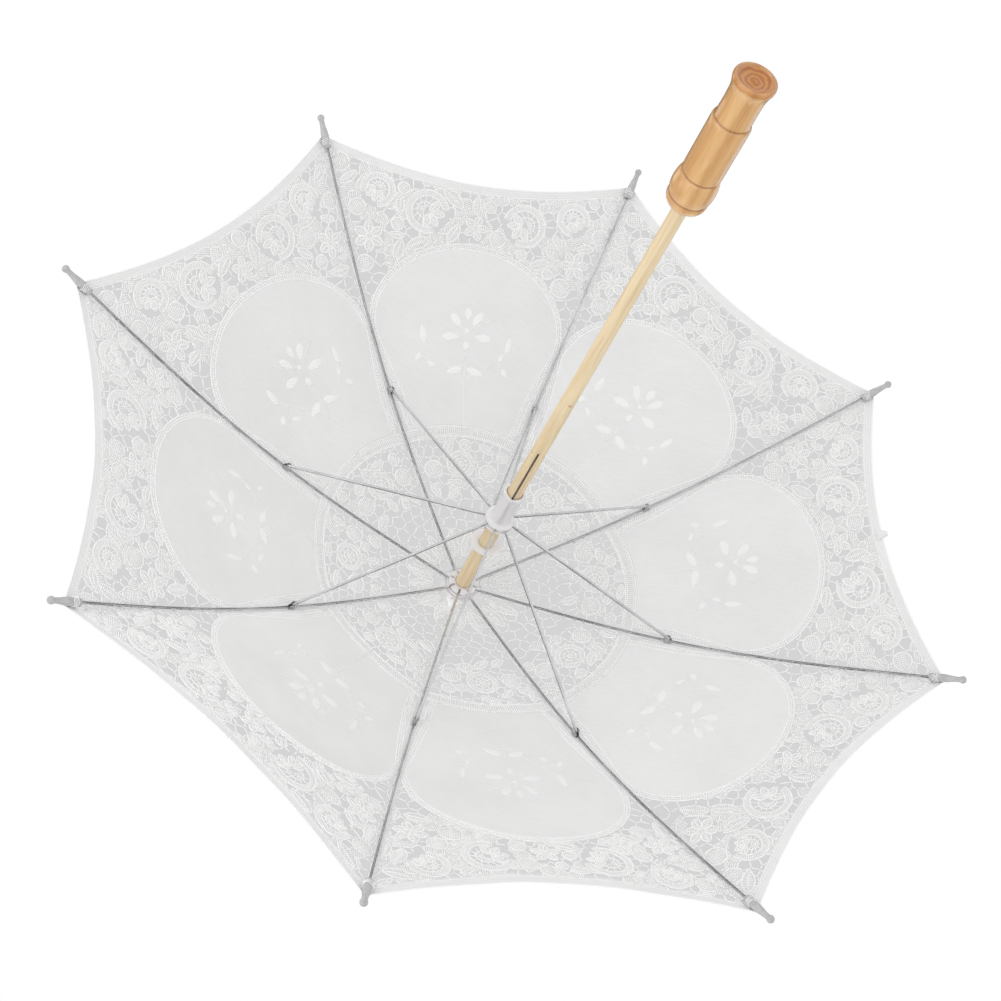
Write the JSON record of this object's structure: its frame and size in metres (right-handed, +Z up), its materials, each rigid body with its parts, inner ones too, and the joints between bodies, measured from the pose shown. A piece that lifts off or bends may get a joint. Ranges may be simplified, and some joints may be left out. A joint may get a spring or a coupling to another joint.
{
  "type": "parasol",
  "caption": "Open folding parasol with a lace and cotton canopy on curved steel ribs, a sliding runner, a straight wooden shaft and a turned wooden handle.",
  "frame": {"origin": "on the shaft's axis, at the middle of the handle's grip", "axes": "+Z up along the shaft towards the canopy; rib 1 lies over +X and the others follow every 45 degrees, anticlockwise from above"},
  "size_m": [0.8088, 0.8088, 0.6614],
  "materials": {
    "shaft_wood": "pale clear-coated wood",
    "handle_wood": "amber varnished turned wood",
    "white_plastic": "translucent white moulded plastic",
    "grey_plastic": "pale grey moulded plastic",
    "steel": "bright plated steel",
    "spring_steel": "dark spring wire",
    "cotton_lace": "matt cotton, part lace and part plain weave"
  },
  "bodies": {
    "stick": {"shaft": "shaft_wood", "handle": "handle_wood", "ferrule": "white_plastic", "top_cap": "white_plastic", "top_notch": "white_plastic", "notch_wire": "steel", "shaft_washer": "white_plastic", "catch_pin": "steel"},
    "rib_arm_1": {"rib_1": "steel", "rib_tip_1": "grey_plastic", "rib_clip_1": "steel", "rivet_1": "steel", "canopy_1": "cotton_lace"},
    "rib_arm_2": {"rib_2": "steel", "rib_tip_2": "grey_plastic", "rib_clip_2": "steel", "rivet_2": "steel", "canopy_2": "cotton_lace"},
    "rib_arm_3": {"rib_3": "steel", "rib_tip_3": "grey_plastic", "rib_clip_3": "steel", "rivet_3": "steel", "canopy_3": "cotton_lace"},
    "rib_arm_4": {"rib_4": "steel", "rib_tip_4": "grey_plastic", "rib_clip_4": "steel", "rivet_4": "steel", "canopy_4": "cotton_lace"},
    "rib_arm_5": {"rib_5": "steel", "rib_tip_5": "grey_plastic", "rib_clip_5": "steel", "rivet_5": "steel", "canopy_5": "cotton_lace"},
    "rib_arm_6": {"rib_6": "steel", "rib_tip_6": "grey_plastic", "rib_clip_6": "steel", "rivet_6": "steel", "canopy_6": "cotton_lace"},
    "rib_arm_7": {"rib_7": "steel", "rib_tip_7": "grey_plastic", "rib_clip_7": "steel", "rivet_7": "steel", "canopy_7": "cotton_lace"},
    "rib_arm_8": {"rib_8": "steel", "rib_tip_8": "grey_plastic", "rib_clip_8": "steel", "rivet_8": "steel", "canopy_8": "cotton_lace"},
    "stretcher_arm_1": {"stretcher_1": "steel"},
    "stretcher_arm_2": {"stretcher_2": "steel"},
    "stretcher_arm_3": {"stretcher_3": "steel"},
    "stretcher_arm_4": {"stretcher_4": "steel"},
    "stretcher_arm_5": {"stretcher_5": "steel"},
    "stretcher_arm_6": {"stretcher_6": "steel"},
    "stretcher_arm_7": {"stretcher_7": "steel"},
    "stretcher_arm_8": {"stretcher_8": "steel"},
    "slider": {"runner": "white_plastic", "runner_wire": "steel"},
    "catch": {"catch_spring": "spring_steel"}
  },
  "joints": [
    {"name": "rib_1_fold", "type": "hinge", "parent": "stick", "child": "rib_arm_1", "pos_m": [0.0102, 0, 0.558], "axis": [0, 1, 0], "range_deg": [0, 66], "deforming": ["canopy_1"]},
    {"name": "rib_2_fold", "type": "hinge", "parent": "stick", "child": "rib_arm_2", "pos_m": [0.00721, 0.00721, 0.558], "axis": [-0.7071, 0.7071, 0], "range_deg": [0, 66], "deforming": ["canopy_2"]},
    {"name": "rib_3_fold", "type": "hinge", "parent": "stick", "child": "rib_arm_3", "pos_m": [0, 0.0102, 0.558], "axis": [-1, 0, 0], "range_deg": [0, 66], "deforming": ["canopy_3"]},
    {"name": "rib_4_fold", "type": "hinge", "parent": "stick", "child": "rib_arm_4", "pos_m": [-0.00721, 0.00721, 0.558], "axis": [-0.7071, -0.7071, 0], "range_deg": [0, 66], "deforming": ["canopy_4"]},
    {"name": "rib_5_fold", "type": "hinge", "parent": "stick", "child": "rib_arm_5", "pos_m": [-0.0102, 0, 0.558], "axis": [0, -1, 0], "range_deg": [0, 66], "deforming": ["canopy_5"]},
    {"name": "rib_6_fold", "type": "hinge", "parent": "stick", "child": "rib_arm_6", "pos_m": [-0.00721, -0.00721, 0.558], "axis": [0.7071, -0.7071, 0], "range_deg": [0, 66], "deforming": ["canopy_6"]},
    {"name": "rib_7_fold", "type": "hinge", "parent": "stick", "child": "rib_arm_7", "pos_m": [0, -0.0102, 0.558], "axis": [1, 0, 0], "range_deg": [0, 66], "deforming": ["canopy_7"]},
    {"name": "rib_8_fold", "type": "hinge", "parent": "stick", "child": "rib_arm_8", "pos_m": [0.00721, -0.00721, 0.558], "axis": [0.7071, 0.7071, 0], "range_deg": [0, 66], "deforming": ["canopy_8"]},
    {"name": "stretcher_1_hinge", "type": "hinge", "parent": "rib_arm_1", "child": "stretcher_arm_1", "pos_m": [0.17841, 0, 0.50605], "axis": [0, 1, 0], "range_deg": [-132, 0]},
    {"name": "stretcher_2_hinge", "type": "hinge", "parent": "rib_arm_2", "child": "stretcher_arm_2", "pos_m": [0.12615, 0.12615, 0.50605], "axis": [-0.7071, 0.7071, 0], "range_deg": [-132, 0]},
    {"name": "stretcher_3_hinge", "type": "hinge", "parent": "rib_arm_3", "child": "stretcher_arm_3", "pos_m": [0, 0.17841, 0.50605], "axis": [-1, 0, 0], "range_deg": [-132, 0]},
    {"name": "stretcher_4_hinge", "type": "hinge", "parent": "rib_arm_4", "child": "stretcher_arm_4", "pos_m": [-0.12615, 0.12615, 0.50605], "axis": [-0.7071, -0.7071, 0], "range_deg": [-132, 0]},
    {"name": "stretcher_5_hinge", "type": "hinge", "parent": "rib_arm_5", "child": "stretcher_arm_5", "pos_m": [-0.17841, 0, 0.50605], "axis": [0, -1, 0], "range_deg": [-132, 0]},
    {"name": "stretcher_6_hinge", "type": "hinge", "parent": "rib_arm_6", "child": "stretcher_arm_6", "pos_m": [-0.12615, -0.12615, 0.50605], "axis": [0.7071, -0.7071, 0], "range_deg": [-132, 0]},
    {"name": "stretcher_7_hinge", "type": "hinge", "parent": "rib_arm_7", "child": "stretcher_arm_7", "pos_m": [0, -0.17841, 0.50605], "axis": [1, 0, 0], "range_deg": [-132, 0]},
    {"name": "stretcher_8_hinge", "type": "hinge", "parent": "rib_arm_8", "child": "stretcher_arm_8", "pos_m": [0.12615, -0.12615, 0.50605], "axis": [0.7071, 0.7071, 0], "range_deg": [-132, 0]},
    {"name": "runner_hinge", "type": "hinge", "parent": "stretcher_arm_1", "child": "slider", "pos_m": [0.0102, 0, 0.45409], "axis": [0, 1, 0], "range_deg": [0, 66]},
    {"name": "catch_press", "type": "hinge", "parent": "stick", "child": "catch", "pos_m": [0, -0.0039, 0.3535], "axis": [-1, 0, 0], "range_deg": [0, 1.8], "stiffness_Nm_per_rad": 0.5}
  ],
  "couplings": [
    {"joint": "rib_2_fold", "follows": "rib_1_fold", "ratio": 1},
    {"joint": "rib_3_fold", "follows": "rib_1_fold", "ratio": 1},
    {"joint": "rib_4_fold", "follows": "rib_1_fold", "ratio": 1},
    {"joint": "rib_5_fold", "follows": "rib_1_fold", "ratio": 1},
    {"joint": "rib_6_fold", "follows": "rib_1_fold", "ratio": 1},
    {"joint": "rib_7_fold", "follows": "rib_1_fold", "ratio": 1},
    {"joint": "rib_8_fold", "follows": "rib_1_fold", "ratio": 1},
    {"joint": "stretcher_1_hinge", "follows": "rib_1_fold", "ratio": -2},
    {"joint": "stretcher_2_hinge", "follows": "rib_1_fold", "ratio": -2},
    {"joint": "stretcher_3_hinge", "follows": "rib_1_fold", "ratio": -2},
    {"joint": "stretcher_4_hinge", "follows": "rib_1_fold", "ratio": -2},
    {"joint": "stretcher_5_hinge", "follows": "rib_1_fold", "ratio": -2},
    {"joint": "stretcher_6_hinge", "follows": "rib_1_fold", "ratio": -2},
    {"joint": "stretcher_7_hinge", "follows": "rib_1_fold", "ratio": -2},
    {"joint": "stretcher_8_hinge", "follows": "rib_1_fold", "ratio": -2},
    {"joint": "runner_hinge", "follows": "rib_1_fold", "ratio": 1}
  ]
}
